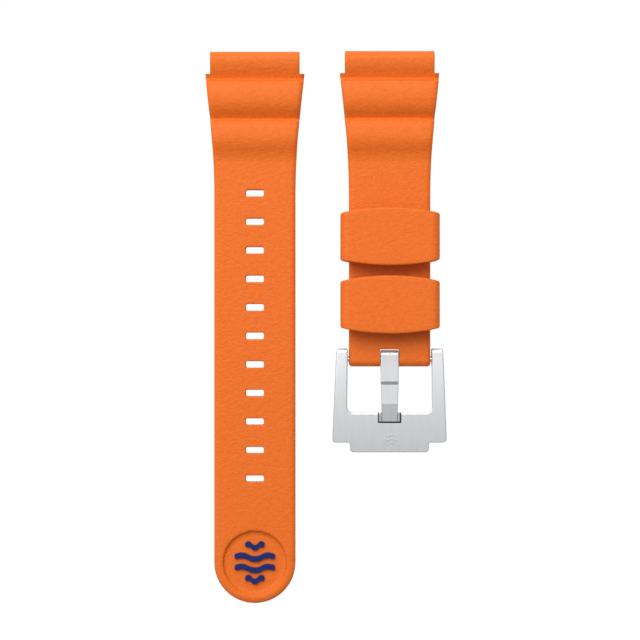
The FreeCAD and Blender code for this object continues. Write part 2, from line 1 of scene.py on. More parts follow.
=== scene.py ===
"""The looks of a two-piece rubber dive watch strap: moulded straps and keepers, steel and studio.

Lengths below are in millimetres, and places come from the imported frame. On a strap half, x runs
across from its middle, u runs along it from the lug end, and z is the height above its underside.
"""

import math

import bmesh
import bpy
import numpy as np
from mathutils import Matrix, Vector
from mathutils.bvhtree import BVHTree
from mathutils.geometry import delaunay_2d_cdt


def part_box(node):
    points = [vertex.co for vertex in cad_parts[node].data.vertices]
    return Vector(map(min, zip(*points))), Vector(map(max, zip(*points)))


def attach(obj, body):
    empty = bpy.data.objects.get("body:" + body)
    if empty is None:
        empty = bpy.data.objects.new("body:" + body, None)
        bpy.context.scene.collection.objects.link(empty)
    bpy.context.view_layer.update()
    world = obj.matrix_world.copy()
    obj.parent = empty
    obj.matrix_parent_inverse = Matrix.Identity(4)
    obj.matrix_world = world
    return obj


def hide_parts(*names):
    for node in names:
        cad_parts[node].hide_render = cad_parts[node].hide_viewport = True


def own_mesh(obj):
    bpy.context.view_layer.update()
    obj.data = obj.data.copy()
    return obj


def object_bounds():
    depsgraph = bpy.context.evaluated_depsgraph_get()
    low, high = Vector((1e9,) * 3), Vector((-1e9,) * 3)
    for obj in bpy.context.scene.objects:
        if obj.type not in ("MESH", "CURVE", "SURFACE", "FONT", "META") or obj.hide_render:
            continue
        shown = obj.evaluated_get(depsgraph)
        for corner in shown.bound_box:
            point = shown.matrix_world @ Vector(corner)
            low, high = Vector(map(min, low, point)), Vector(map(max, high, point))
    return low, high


MM = 0.001

# Straps
STRAP_WIDTH = 19.9
THICKNESS = 3.2
TONGUE_HALF = 10.95
TONGUE_LENGTH = 5.5
TONGUE_RADIUS = 2.15
TONGUE_TOP_RADIUS = 7.0
TONGUE_TOP_END = 4.9
SHOULDER_HALF = 12.15
TAPER_LENGTH = 10.8
BLEND_DROP = 1.05
LUG_BORE_RADIUS = 1.0
BORE_CUT_LENGTH = 30
# Rounded edges: (width, height)
SIDE_BEVEL = (1.25, 0.85)
TONGUE_BEVEL = (0.45, 0.4)
UNDER_BEVEL = (0.35, 0.3)
SHOULDER_BEVEL = (0.3, 0.3)
# Waves: (start of its crest, peak, peak height, back radius, end of its back arc)
WAVES = (
    (7.55, 11.5, 5.0, 6.8, 15.2),
    (17.2, 21.0, 4.7, 6.3, 24.2),
)
PEAKS = tuple(wave[1] for wave in WAVES)
WAVES_END = WAVES[-1][-1]
CREST_FRONT_RADIUS = 13.0
FRONT_STEEPNESS = 2.8
FOOT_BLEND = 1.4
BROW_BLEND = 0.22
# A shallow groove just behind each brow: its distance from the brow, half width and depth
BROW_GROOVE = (0.7, 0.38, 0.09)
BELLOWS_RADIUS = 4.0
BELLOWS_HALF_WIDTH = 2.9
# Holes, recess and the short half's end
FIRST_HOLE = 34.7
HOLE_PITCH = 7.0
HOLE_COUNT = 11
HOLE_HALF = (2.2, 0.8)
HOLE_CORNER = 0.45
HOLE_RIM = 0.22
# Rings of mesh points round a hole, by their distance from its edge, and the room kept for them
HOLE_RINGS = (0.012, 0.05, 0.12, HOLE_RIM, 0.6)
HOLE_RING_ROOM = 0.58
RECESS_RADIUS = 7.7
RECESS_DEPTH = 0.6
RECESS_WALL = 0.45
SLOT_HALF = 2.325
SLOT_DEPTH = 4.2
SLOT_RIM = 0.2
BAR_FROM_END = 1.8
BAR_BORE_RADIUS = 0.95
END_CORNER = 0.8
# Share of the thickness that the rounded edges may take off each face
EDGE_SHARE = 0.45
# How far inside the outline a free mesh point has to lie, and how close two points may be
POINT_MARGIN = 0.004
MERGE_DISTANCE = 0.002
# Mesh rows along a strap: on the waves, on the flat part and towards the short half's end
WAVE_ROW = 0.2
FLAT_ROW = 0.7
END_ROW = 0.3
FLAT_START = WAVES_END + 3.0
FLAT_END_GAP = 5
END_ROWS_LENGTH = 4.9
# Mesh points on a quarter of the round tip, and the step between rings on the recess's floor
TIP_ARC_POINTS = 60
FLOOR_RING = 0.8
# Mesh rings beside an edge, as shares of the side bevel's width
EDGE_RINGS = (0.02, 0.08, 0.18, 0.32, 0.5, 0.72, 1.0)
# Keepers
KEEPER_BOW = 1.3
KEEPER_PLAN_CORNER = 0.15
KEEPER_OUTER_CORNER = 1.9
KEEPER_INNER_CORNER = 0.4
KEEPER_OUTER_RIM = 0.45
KEEPER_INNER_RIM = 0.25
# Thickness of a keeper's sides, floor and roof
KEEPER_WALLS = (1.9, 1.3, 1.5)
# Notch that the tang's tip rests in, whose walls get a painted dark line, and the spring inside the spring
# bar
NOTCH_HALF_WIDTH = 2.7
NOTCH_END_GAP = 0.2
COIL_RADIUS = 0.46
COIL_WIRE_RADIUS = 0.1
COIL_TURNS = 18
COIL_STEPS = 180
COIL_SPOKES = 8
# Wave lines on the buckle: their place from the frame's outer end, size and wavelength
MARK_FROM_END = 3.2
MARK_HALF_LINE = 0.17
MARK_RISE = 0.08
MARK_WAVE = 0.25
MARK_PERIOD = 1.9
MARK_STEPS = 40
# A line's cross-section from left to right: (share of its half width, share of its rise)
MARK_SECTION = ((-1, -0.05), (-0.8, 0.75), (0, 1), (0.8, 0.75), (1, -0.05))
# Grain of the rubber's surface, and the painted shade in the steel's tight corners and how far it reaches
GRAIN_SIZE = 0.55
PAINTED_SHADE = (0.03, 0.03, 0.03)
PAINTED_SHADE_REACH = 0.45
# Floor and camera
FLOOR_GAP = 0.02
FLOOR_GLOW = 1.03
CAMERA_HEIGHT = 500.0
CAMERA_SHIFT = (-1.48, 1.8)
VIEW_WIDTH = 156.67
SENSOR = 36.0


# ---------------------------------------------------------------- heights and widths of a strap

def soft_max(a, b, blend):
    """The larger of a and b, with the crease between them filled over the blend height."""
    near = np.maximum(blend - np.abs(a - b), 0) / blend
    return np.maximum(a, b) + near * near * blend / 4


def soft_min(a, b, blend):
    return -soft_max(-a, -b, blend)


def arc_drop(distance, radius, straight_after):
    """Drop of an arc at a distance from its crown, going on straight after a distance."""
    bent = np.minimum(np.abs(distance), straight_after)
    root = np.sqrt(radius * radius - bent * bent)
    return radius - root + (np.abs(distance) - bent) * bent / root


def wave_height(u, wave):
    """One wave: a steep front that meets the crest at its brow, and a falling back."""
    brow, peak, height, back_radius, back_end = wave
    front = arc_drop(u - peak, CREST_FRONT_RADIUS, 2 * (peak - brow))
    back = arc_drop(u - peak, back_radius, back_end - peak)
    crest = height - np.where(u < peak, front, back)
    brow_height = height - arc_drop(peak - brow, CREST_FRONT_RADIUS, peak)
    away, half_width, depth = BROW_GROOVE
    groove = depth * np.exp(-(((u - brow - away) / half_width) ** 2))
    return soft_min(crest, brow_height + (u - brow) * FRONT_STEEPNESS, BROW_BLEND) - groove


def tongue_height(u):
    around = TONGUE_RADIUS + np.sqrt(np.maximum(TONGUE_RADIUS**2 - (TONGUE_RADIUS - u) ** 2, 0))
    run = TONGUE_TOP_END - TONGUE_RADIUS
    over = 2 * TONGUE_RADIUS - arc_drop(np.maximum(u - TONGUE_RADIUS, 0), TONGUE_TOP_RADIUS, run)
    return np.where(u < TONGUE_RADIUS, around, over)


def top_height(u):
    """Height of the outer face along the middle of a strap."""
    waves = soft_max(wave_height(u, WAVES[0]), wave_height(u, WAVES[1]), FOOT_BLEND)
    lug_end = np.where(u < PEAKS[0], soft_max(tongue_height(u), waves, FOOT_BLEND), waves)
    after = soft_max(waves, np.full_like(u, THICKNESS), FOOT_BLEND)
    return np.where(u < PEAKS[1], lug_end, after)


def under_height(u):
    """Height of the underside: round at the tongue, hollow under each wave."""
    around = TONGUE_RADIUS - np.sqrt(np.maximum(TONGUE_RADIUS**2 - (TONGUE_RADIUS - u) ** 2, 0))
    height = np.where(u < TONGUE_RADIUS, around, 0.0)
    sunk = math.sqrt(BELLOWS_RADIUS**2 - BELLOWS_HALF_WIDTH**2)
    for peak in PEAKS:
        reach = np.maximum(BELLOWS_RADIUS**2 - (u - peak) ** 2, 0)
        height = np.maximum(height, np.sqrt(reach) - sunk)
    return height


def taper():
    """(slope, radius, end) of the lug end's plan: a straight taper, then an arc."""
    slope = (SHOULDER_HALF - STRAP_WIDTH / 2 - BLEND_DROP) / TAPER_LENGTH
    root = math.hypot(1, slope)
    radius = BLEND_DROP * root / (root - 1)
    end = TONGUE_LENGTH + TAPER_LENGTH + BLEND_DROP * (root + 1) / slope
    return slope, radius, end


def body_half_width(u):
    """Half the strap's width from the shoulder on."""
    slope, radius, end = taper()
    straight = SHOULDER_HALF - slope * (u - TONGUE_LENGTH)
    to_end = np.clip(end - u, 0, None)
    bent = STRAP_WIDTH / 2 + radius - np.sqrt(np.maximum(radius**2 - to_end**2, 0))
    return np.where(u < TONGUE_LENGTH + TAPER_LENGTH, straight, bent)


def edge_at(u):
    """Half the strap's width at one place from the shoulder on, as a plain number."""
    return float(body_half_width(np.array(u)))


def rounded_off(distance, bevel):
    """How much a rounded edge takes off at a distance inside it. A bevel is (width, height)."""
    width, height = bevel
    share = 1 - np.clip(distance / width, 0, 1)
    return height * (1 - np.sqrt(1 - share * share))


# ---------------------------------------------------------------- plans of the two halves

class Half:
    """Plan of one strap half: its loops, its distances and its mesh."""

    def __init__(self, length, holes=0, slotted=False):
        self.length = length
        self.holes = [FIRST_HOLE + n * HOLE_PITCH for n in range(holes)]
        self.slotted = slotted
        self.tip_centre = length - STRAP_WIDTH / 2

    def side_distance(self, x, u):
        """Distance inside the long sides and, on the long half, inside the round tip."""
        side = np.where(u < TONGUE_LENGTH, TONGUE_HALF, body_half_width(u)) - np.abs(x)
        if self.slotted:
            return side
        tip = STRAP_WIDTH / 2 - np.hypot(x, u - self.tip_centre)
        return np.where(u > self.tip_centre, tip, side)

    def end_height(self, u):
        """Half the thickness that the round end of the short half leaves."""
        radius = THICKNESS / 2
        past = np.clip(u - (self.length - radius), 0, radius)
        return np.sqrt(radius**2 - past**2)

    def cut_distance(self, x, u):
        """Distance outside the nearest hole, or outside the tang's slot."""
        distance = np.full_like(x, self.length)
        for centre in self.holes:
            distance = np.minimum(distance, outside_box(x, u - centre, HOLE_HALF, HOLE_CORNER))
        if self.slotted:
            middle = self.length + SLOT_DEPTH
            box = (SLOT_HALF, 2 * SLOT_DEPTH)
            distance = np.minimum(distance, outside_box(x, u - middle, box, 0))
        return distance

    def trimmed(self, x, u, bevel, tongue_bevel, rim):
        """What the rounded edges take off a face."""
        side = self.side_distance(x, u)
        taken = np.where(u < TONGUE_LENGTH, rounded_off(side, tongue_bevel), rounded_off(side, bevel))
        shoulder = (np.abs(x) > TONGUE_HALF) & (u >= TONGUE_LENGTH)
        front = np.where(shoulder, rounded_off(u - TONGUE_LENGTH, SHOULDER_BEVEL), 0)
        return np.maximum(np.maximum(taken, front), rounded_off(self.cut_distance(x, u), (rim, rim)))

    def faces(self, x, u):
        """(under, top) heights at plan points."""
        top = top_height(u)
        under = under_height(u)
        if self.slotted:
            end = u > self.length - THICKNESS / 2
            top = np.where(end, THICKNESS / 2 + self.end_height(u), top)
            under = np.where(end, THICKNESS / 2 - self.end_height(u), under)
            rim = SLOT_RIM
        else:
            ring = np.hypot(x, u - self.tip_centre)
            inside = np.clip((RECESS_RADIUS + RECESS_WALL / 2 - ring) / RECESS_WALL, 0, 1)
            top = top - RECESS_DEPTH * inside * inside * (3 - 2 * inside)
            rim = HOLE_RIM
        room = EDGE_SHARE * (top - under)
        off_top = self.trimmed(x, u, SIDE_BEVEL, TONGUE_BEVEL, rim)
        off_under = self.trimmed(x, u, UNDER_BEVEL, UNDER_BEVEL, rim)
        return under + np.minimum(off_under, room), top - np.minimum(off_top, room)

    def outer_loop(self):
        """The right side of the plan outline from the lug end to the far end, then its mirror."""
        right = [(TONGUE_HALF, u) for u in self.rows() if u < TONGUE_LENGTH]
        right += [(x, TONGUE_LENGTH) for x in np.linspace(TONGUE_HALF, SHOULDER_HALF, 5)]
        stop = self.length - END_CORNER if self.slotted else self.tip_centre
        right += [(edge_at(u), u) for u in self.rows() if TONGUE_LENGTH < u < stop]
        if self.slotted:
            corner_x = STRAP_WIDTH / 2 - END_CORNER
            right += arc_points((corner_x, self.length - END_CORNER), END_CORNER, 8)
            right += [(x, self.length) for x in np.linspace(corner_x, SLOT_HALF, 12)[1:]]
            slot_rows = [u for u in self.rows() if self.length - SLOT_DEPTH < u < self.length]
            right += [(SLOT_HALF, u) for u in reversed(slot_rows)]
            right += [(x, self.length - SLOT_DEPTH) for x in np.linspace(SLOT_HALF, 0, 7)[:-1]]
        else:
            right += arc_points((0, self.tip_centre), STRAP_WIDTH / 2, TIP_ARC_POINTS)[:-1]
        middle = self.length - SLOT_DEPTH if self.slotted else self.length
        left = [(-x, u) for x, u in reversed(right)]
        lug_edge = [(x, 0.0) for x in np.linspace(-TONGUE_HALF, TONGUE_HALF, 24)[1:-1]]
        return right + [(0.0, middle)] + left + lug_edge

    def rows(self):
        """Stations along the strap: close where the side view bends, wider where it is flat."""
        turn = np.linspace(0, math.pi / 2, 12)
        start = TONGUE_RADIUS * (1 - np.cos(turn))
        waves = np.arange(TONGUE_RADIUS + WAVE_ROW, FLAT_START, WAVE_ROW)
        shoulder = np.array([TONGUE_LENGTH - 0.03, TONGUE_LENGTH + 0.03, TONGUE_LENGTH + 0.12])
        flat_end = self.length - FLAT_END_GAP if self.slotted else self.tip_centre
        flat = np.arange(FLAT_START + 0.6, flat_end, FLAT_ROW)
        rows = [start, waves, shoulder, flat]
        if self.slotted:
            end_rows = self.length - END_ROWS_LENGTH
            rows.append(np.arange(end_rows, self.length - THICKNESS / 2, END_ROW))
            rows.append(self.length - THICKNESS / 2 * (1 - np.sin(turn)))
        return sorted(set(np.round(np.concatenate(rows), 4).tolist()))

    def inner_points(self):
        """Plan points inside the outline: rings beside the edges, and a grid between them."""
        width = SIDE_BEVEL[0]
        rings = [width * share for share in EDGE_RINGS]
        points = []
        for u in self.rows()[1:-1]:
            if not self.slotted and u > self.tip_centre:
                continue
            if u < TONGUE_LENGTH:
                across = [TONGUE_HALF - ring * TONGUE_BEVEL[0] / width for ring in rings]
            else:
                across = [edge_at(u) - ring for ring in rings]
            inner = np.linspace(0, across[-1], 12)[:-1]
            for x in [*across, *inner]:
                if self.slotted or math.hypot(x, u - self.tip_centre) > RECESS_RADIUS + RECESS_WALL:
                    points += [(x, u), (-x, u)]
        for x in np.linspace(TONGUE_HALF, SHOULDER_HALF, 6)[:-1]:
            for into in (0.02, 0.07, 0.14, 0.22):
                points += [(x, TONGUE_LENGTH + into), (-x, TONGUE_LENGTH + into)]
        if not self.slotted:
            points += self.tip_points(rings)
        return points

    def tip_points(self, rings):
        """Rings round the tip's edge and round the recess, and a grid on its floor."""
        edge = STRAP_WIDTH / 2
        half_rings = [edge - ring for ring in rings]
        wall = RECESS_RADIUS + RECESS_WALL * np.linspace(-0.5, 0.5, 9)
        points = []
        for radius in half_rings:
            ring = ring_points(self.tip_centre, radius, 2 * TIP_ARC_POINTS)
            points += [(x, u) for x, u in ring if u > self.tip_centre]
        for radius in [*wall, *np.arange(FLOOR_RING, RECESS_RADIUS - 0.5, FLOOR_RING)]:
            points += ring_points(self.tip_centre, radius, max(12, int(radius * 18)))
        return points

    def hole_loops(self):
        return [slot_points(centre, 0) for centre in self.holes]

    def mesh(self, name, place):
        """The closed mesh of the half. place() turns x, u, z into the row frame in metres."""
        loops = [self.outer_loop(), *self.hole_loops()]
        points = []
        edges = []
        for loop in loops:
            first = len(points)
            points += loop
            edges += [(first + n, first + (n + 1) % len(loop)) for n in range(len(loop))]
        free = self.inner_points()
        for centre in self.holes:
            for gap in HOLE_RINGS:
                free += slot_points(centre, gap)
        if self.slotted:
            free += self.slot_rim_points()
        points += self.worth_keeping(free)
        flat = [Vector((x, u)) for x, u in points]
        plan, _, triangles, *_ = delaunay_2d_cdt(flat, edges, [], 0, 1e-5)
        x = np.array([p.x for p in plan])
        u = np.array([p.y for p in plan])
        triangles = [t for t in triangles if self.is_inside(x, u, t)]
        return closed_mesh(name, x, u, self.faces(x, u), triangles, place)

    def slot_rim_points(self):
        points = []
        for gap in (0.02, 0.06, 0.12, SLOT_RIM):
            high = self.length - SLOT_DEPTH - gap
            points += [(x, high) for x in np.linspace(-SLOT_HALF - gap, SLOT_HALF + gap, 13)]
            for u in self.rows():
                if high < u < self.length - 0.001:
                    points += [(SLOT_HALF + gap, u), (-SLOT_HALF - gap, u)]
        return points

    def worth_keeping(self, points):
        """The points that lie inside the half and clear of its holes and its slot."""
        x, u = (np.array(column) for column in zip(*points))
        from_cut = self.cut_distance(x, u)
        keep = (self.side_distance(x, u) > POINT_MARGIN) & (from_cut > POINT_MARGIN) & (u < self.length)
        if self.slotted:
            keep &= outside_corner(x, u, self.length) < END_CORNER - POINT_MARGIN
        if self.holes:
            on_ring = np.arange(len(points)) >= len(points) - self.rim_count()
            keep &= on_ring | (from_cut >= HOLE_RING_ROOM)
        return [point for point, kept in zip(points, keep) if kept]

    def rim_count(self):
        """How many of the last points belong to rings round the holes."""
        return sum(len(slot_points(centre, 0)) for centre in self.holes) * len(HOLE_RINGS)

    def is_inside(self, x, u, triangle):
        middle_x = np.array([x[list(triangle)].mean()])
        middle_u = np.array([u[list(triangle)].mean()])
        inside = self.side_distance(middle_x, middle_u)[0] > 0
        if self.slotted:
            inside &= outside_corner(middle_x, middle_u, self.length)[0] < END_CORNER
        return inside and self.cut_distance(middle_x, middle_u)[0] > 0


def outside_box(x, y, half, corner):
    """Signed distance outside a rounded rectangle centred on 0, 0."""
    beyond_x = np.abs(x) - half[0] + corner
    beyond_y = np.abs(y) - half[1] + corner
    outside = np.hypot(np.maximum(beyond_x, 0), np.maximum(beyond_y, 0))
    return outside + np.minimum(np.maximum(beyond_x, beyond_y), 0) - corner


def outside_corner(x, u, length):
    """Distance from the centre of the rounded corner at the end of the short half."""
    beyond_x = np.maximum(np.abs(x) - (STRAP_WIDTH / 2 - END_CORNER), 0)
    beyond_u = np.maximum(u - (length - END_CORNER), 0)
    return np.where((beyond_x > 0) & (beyond_u > 0), np.hypot(beyond_x, beyond_u), 0)


def arc_points(centre, radius, count):
    """A quarter circle from the right side to the far end."""
    turns = np.linspace(0, math.pi / 2, count)
    return [(centre[0] + radius * math.cos(a), centre[1] + radius * math.sin(a)) for a in turns]


def ring_points(centre_u, radius, count):
    turns = np.arange(count) * 2 * math.pi / count
    return [(radius * math.cos(a), centre_u + radius * math.sin(a)) for a in turns]


def slot_points(centre_u, gap):
    """Points round a hole, a gap outside its edge."""
    wide, high = HOLE_HALF
    corner = HOLE_CORNER + gap
    points = []
    for quadrant in range(4):
        sign_x = 1 if quadrant in (0, 3) else -1
        sign_u = 1 if quadrant in (0, 1) else -1
        for a in np.linspace(0, math.pi / 2, 7) + quadrant * math.pi / 2:
            x = sign_x * (wide - HOLE_CORNER) + corner * math.cos(a)
            points.append((x, centre_u + sign_u * (high - HOLE_CORNER) + corner * math.sin(a)))
        if quadrant in (0, 2):
            inner = np.linspace(sign_x, -sign_x, 9)[1:-1] * (wide - HOLE_CORNER)
            points += [(x, centre_u + sign_u * (high + gap)) for x in inner]
    return points


def closed_mesh(name, x, u, heights, triangles, place):
    """Top and under faces on one plan, joined by walls along the plan's open edges."""
    under, top = heights
    count = len(x)
    vertices = [place(*p) for p in zip(x, u, top)] + [place(*p) for p in zip(x, u, under)]
    faces = []
    directed = set()
    for a, b, c in triangles:
        faces.append((c, b, a))
        faces.append((a + count, b + count, c + count))
        directed |= {(a, b), (b, c), (c, a)}
    for a, b in directed:
        if (b, a) not in directed:
            faces.append((a, b, b + count, a + count))
    mesh = bpy.data.meshes.new(name)
    mesh.from_pydata(vertices, [], faces)
    tidy(mesh)
    return mesh


def tidy(mesh):
    """Merges points that fall together, drops unused ones and makes the faces look outwards."""
    work = bmesh.new()
    work.from_mesh(mesh)
    bmesh.ops.remove_doubles(work, verts=work.verts, dist=MERGE_DISTANCE * MM)
    bmesh.ops.delete(work, geom=[v for v in work.verts if not v.link_faces], context="VERTS")
    bmesh.ops.recalc_face_normals(work, faces=work.faces)
    work.to_mesh(mesh)
    work.free()


def new_piece(name, mesh, body, node):
    piece = bpy.data.objects.new(name, mesh)
    bpy.context.scene.collection.objects.link(piece)
    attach(piece, body)
    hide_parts(node)
    return piece


def smooth(piece, degrees):
    """Smooth shading, with edges sharper than the angle kept crisp."""
    piece.data.polygons.foreach_set("use_smooth", [True] * len(piece.data.polygons))
    piece.data.set_sharp_from_angle(angle=math.radians(degrees))


def drill(mesh, centre, radius, length):
    """Cuts a round hole along X. The centre is in the row frame in metres."""
    piece = bpy.data.objects.new("drilled", mesh)
    bpy.context.scene.collection.objects.link(piece)
    cutter_mesh = bpy.data.meshes.new("drill")
    work = bmesh.new()
    size = {"radius1": radius * MM, "radius2": radius * MM, "depth": length * MM}
    bmesh.ops.create_cone(work, cap_ends=True, segments=48, **size)
    bmesh.ops.rotate(work, verts=work.verts, matrix=Matrix.Rotation(math.pi / 2, 3, "Y"))
    bmesh.ops.translate(work, verts=work.verts, vec=centre)
    work.to_mesh(cutter_mesh)
    work.free()
    cutter = bpy.data.objects.new("drill", cutter_mesh)
    bpy.context.scene.collection.objects.link(cutter)
    modifier = piece.modifiers.new("drill", "BOOLEAN")
    modifier.object = cutter
    modifier.operation = "DIFFERENCE"
    modifier.solver = "EXACT"
    graph = bpy.context.evaluated_depsgraph_get()
    drilled = bpy.data.meshes.new_from_object(piece.evaluated_get(graph))
    bpy.data.objects.remove(piece)
    bpy.data.objects.remove(cutter)
    return drilled


def make_strap(node, half, bores):
    """One strap half in place of its plain CAD solid."""
    low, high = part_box(node)
    middle = (low.x + high.x) / 2

    def place(x, u, z):
        return (middle + x * MM, high.y - u * MM, low.z + z * MM)

    mesh = half.mesh(node, place)
    for u, z, radius, length in bores:
        mesh = drill(mesh, Vector(place(0, u, z)), radius, length)
    piece = new_piece(f"{node}_rubber", mesh, node, node)
    smooth(piece, 38)
    return piece


# ---------------------------------------------------------------- keepers

def section(half_width, low, high, corner, steps):
    """A rounded rectangle in x and z, with the same number of points for any size."""
    points = []
    corners = (
        (half_width - corner, high - corner, 0),
        (-half_width + corner, high - corner, 1),
        (-half_width + corner, low + corner, 2),
        (half_width - corner, low + corner, 3),
    )
    for index, (x, z, quarter) in enumerate(corners):
        for a in np.linspace(0, math.pi / 2, steps):
            turn = a + quarter * math.pi / 2
            points.append((x + corner * math.cos(turn), z + corner * math.sin(turn)))
        next_x, next_z, next_quarter = corners[(index + 1) % 4]
        turn = next_quarter * math.pi / 2
        start = points[-1]
        stop = (next_x + corner * math.cos(turn), next_z + corner * math.sin(turn))
        for share in np.linspace(0, 1, 2 * steps)[1:-1]:
            points.append(tuple(start[k] + (stop[k] - start[k]) * share for k in (0, 1)))
    return points


def keeper_half_length(x, half_width, half_length):
    """Half the keeper's length at x: its ends bow outwards and turn round at the corners."""
    bow = KEEPER_BOW * (x / half_width) ** 2
    past = min(max(abs(x) - (half_width - KEEPER_PLAN_CORNER), 0) / KEEPER_PLAN_CORNER, 1)
    return half_length - bow - KEEPER_PLAN_CORNER * (1 - math.sqrt(1 - past * past))


def wall_profile(thickness, half_length):
    """The band's lengthwise section as (y, depth below the outer face), a closed loop."""
    outer = min(KEEPER_OUTER_RIM, 0.45 * thickness)
    inner = KEEPER_INNER_RIM
    turns = np.linspace(0, math.pi / 2, 6)
    end = [(half_length - outer * (1 - math.sin(a)), outer * (1 - math.cos(a))) for a in turns]
    end += [(half_length - inner * (1 - math.cos(a)), thickness - inner * (1 - math.sin(a))) for a in turns]
    other = [(-y, depth) for y, depth in reversed(end)]
    along = np.linspace(-0.8, 0.8, 9) * half_length
    top = [(y, 0) for y in along]
    bottom = [(y, thickness) for y in reversed(along)]
    return top + end + bottom + other


def make_keeper(node):
    low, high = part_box(node)
    half_width = (high.x - low.x) / 2 / MM
    half_length = (high.y - low.y) / 2 / MM
    height = (high.z - low.z) / MM
    side, floor, roof = KEEPER_WALLS
    outer = section(half_width, 0, height, KEEPER_OUTER_CORNER, 9)
    inner = section(half_width - side, floor, height - roof, KEEPER_INNER_CORNER, 9)
    centre = (low + high) / 2
    vertices = []
    faces = []
    for (ox, oz), (ix, iz) in zip(outer, inner):
        thickness = math.hypot(ix - ox, iz - oz)
        reach = keeper_half_length(ox, half_width, half_length)
        for y, depth in wall_profile(thickness, reach):
            share = depth / thickness
            x = ox + (ix - ox) * share
            z = oz + (iz - oz) * share
            vertices.append((centre.x + x * MM, centre.y + y * MM, low.z + z * MM))
    rows = len(outer)
    size = len(vertices) // rows
    for row in range(rows):
        for step in range(size):
            a = row * size + step
            b = row * size + (step + 1) % size
            c = (row + 1) % rows * size + (step + 1) % size
            d = (row + 1) % rows * size + step
            faces.append((a, b, c, d))
    mesh = bpy.data.meshes.new(node)
    mesh.from_pydata(vertices, [], faces)
    tidy(mesh)
    piece = new_piece(f"{node}_rubber", mesh, node, node)
    smooth(piece, 50)
    return piece


# ---------------------------------------------------------------- materials

def new_material(name, base, roughness, metallic=0.0):
    material = bpy.data.materials.new(name)
    material.use_nodes = True
    shader = material.node_tree.nodes["Principled BSDF"]
    shader.inputs["Base Color"].default_value = (*base, 1)
    shader.inputs["Roughness"].default_value = roughness
    shader.inputs["Metallic"].default_value = metallic
    return material, material.node_tree, shader


def add_node(tree, kind, values=(), **settings):
    node = tree.nodes.new(kind)
    for name, value in settings.items():
        setattr(node, name, value)
    for name, value in dict(values).items():
        node.inputs[name].default_value = value
    return node


def position(tree, scale=(1, 1, 1)):
    """Places on the piece in millimetres, stretched by a scale."""
    where = add_node(tree, "ShaderNodeTexCoord")
    mapping = add_node(tree, "ShaderNodeMapping")
    mapping.inputs["Scale"].default_value = [value / MM for value in scale]
    tree.links.new(where.outputs["Object"], mapping.inputs["Vector"])
    return mapping.outputs["Vector"]


def noise(tree, vector, size, detail=3.0, rough=0.55):
    """Noise whose patches are about size millimetres across."""
    node = add_node(tree, "ShaderNodeTexNoise", {"Scale": 1 / size, "Detail": detail, "Roughness": rough})
    tree.links.new(vector, node.inputs["Vector"])
    return node.outputs["Fac"]


def remap(tree, value, low, high, from_low=0.3, from_high=0.7):
    node = add_node(tree, "ShaderNodeMapRange")
    for name, number in zip(("From Min", "From Max", "To Min", "To Max"), (from_low, from_high, low, high)):
        node.inputs[name].default_value = number
    tree.links.new(value, node.inputs["Value"])
    return node.outputs["Result"]


def mix_colours(tree, factor, first, second):
    node = add_node(tree, "ShaderNodeMix", data_type="RGBA")
    tree.links.new(factor, node.inputs["Factor"])
    node.inputs["A"].default_value = (*first, 1)
    node.inputs["B"].default_value = (*second, 1)
    return node.outputs["Result"]


def add_bump(tree, shader, height, distance, strength=1.0, below=None):
    """A bump of this distance in millimetres, over another bump where one is given."""
    node = add_node(tree, "ShaderNodeBump", {"Distance": distance * MM, "Strength": strength})
    tree.links.new(height, node.inputs["Height"])
    if below:
        tree.links.new(below, node.inputs["Normal"])
    tree.links.new(node.outputs["Normal"], shader.inputs["Normal"])
    return node.outputs["Normal"]


def rubber(name, deep, light, roughness):
    """Moulded rubber: a fine leather-like grain from the mould, and slightly uneven colour."""
    material, tree, shader = new_material(name, light, roughness)
    where = position(tree)
    shader.inputs["Specular IOR Level"].default_value = 0.22
    patches = remap(tree, noise(tree, where, size=1.1), 0, 1)
    tree.links.new(mix_colours(tree, patches, deep, light), shader.inputs["Base Color"])
    gloss = remap(tree, noise(tree, where, size=0.4), roughness - 0.06, roughness + 0.06)
    tree.links.new(gloss, shader.inputs["Roughness"])
    pebble_values = {"Scale": 1 / GRAIN_SIZE, "Smoothness": 0.6}
    grain = add_node(tree, "ShaderNodeTexVoronoi", pebble_values, feature="SMOOTH_F1")
    tree.links.new(where, grain.inputs["Vector"])
    pebbles = add_bump(tree, shader, grain.outputs["Distance"], distance=0.05)
    creases = noise(tree, position(tree, (0.7, 1.2, 1.2)), size=0.8, detail=4.0, rough=0.6)
    add_bump(tree, shader, creases, distance=0.12, below=pebbles)
    return material


def calculate(tree, operation, first, second=0.0):
    """A math node. Each of its inputs is a socket or a number."""
    node = add_node(tree, "ShaderNodeMath", operation=operation)
    for socket, value in zip(node.inputs, (first, second)):
        if isinstance(value, bpy.types.NodeSocket):
            tree.links.new(value, socket)
        else:
            socket.default_value = value
    return node.outputs["Value"]


def notch_shade_line(tree, centre_x, half_width, end_y):
    """A painted dark reflection: 1 on a thin line along the walls of the tang's notch, and 0 elsewhere."""
    parts = add_node(tree, "ShaderNodeSeparateXYZ")
    tree.links.new(position(tree), parts.inputs["Vector"])
    across = calculate(tree, "ABSOLUTE", calculate(tree, "SUBTRACT", parts.outputs["X"], centre_x))
    beside = calculate(tree, "SUBTRACT", across, half_width)
    past = calculate(tree, "SUBTRACT", end_y, parts.outputs["Y"])
    from_wall = calculate(tree, "ABSOLUTE", calculate(tree, "MAXIMUM", beside, past))
    return remap(tree, from_wall, 1, 0, from_low=0.1, from_high=0.22)


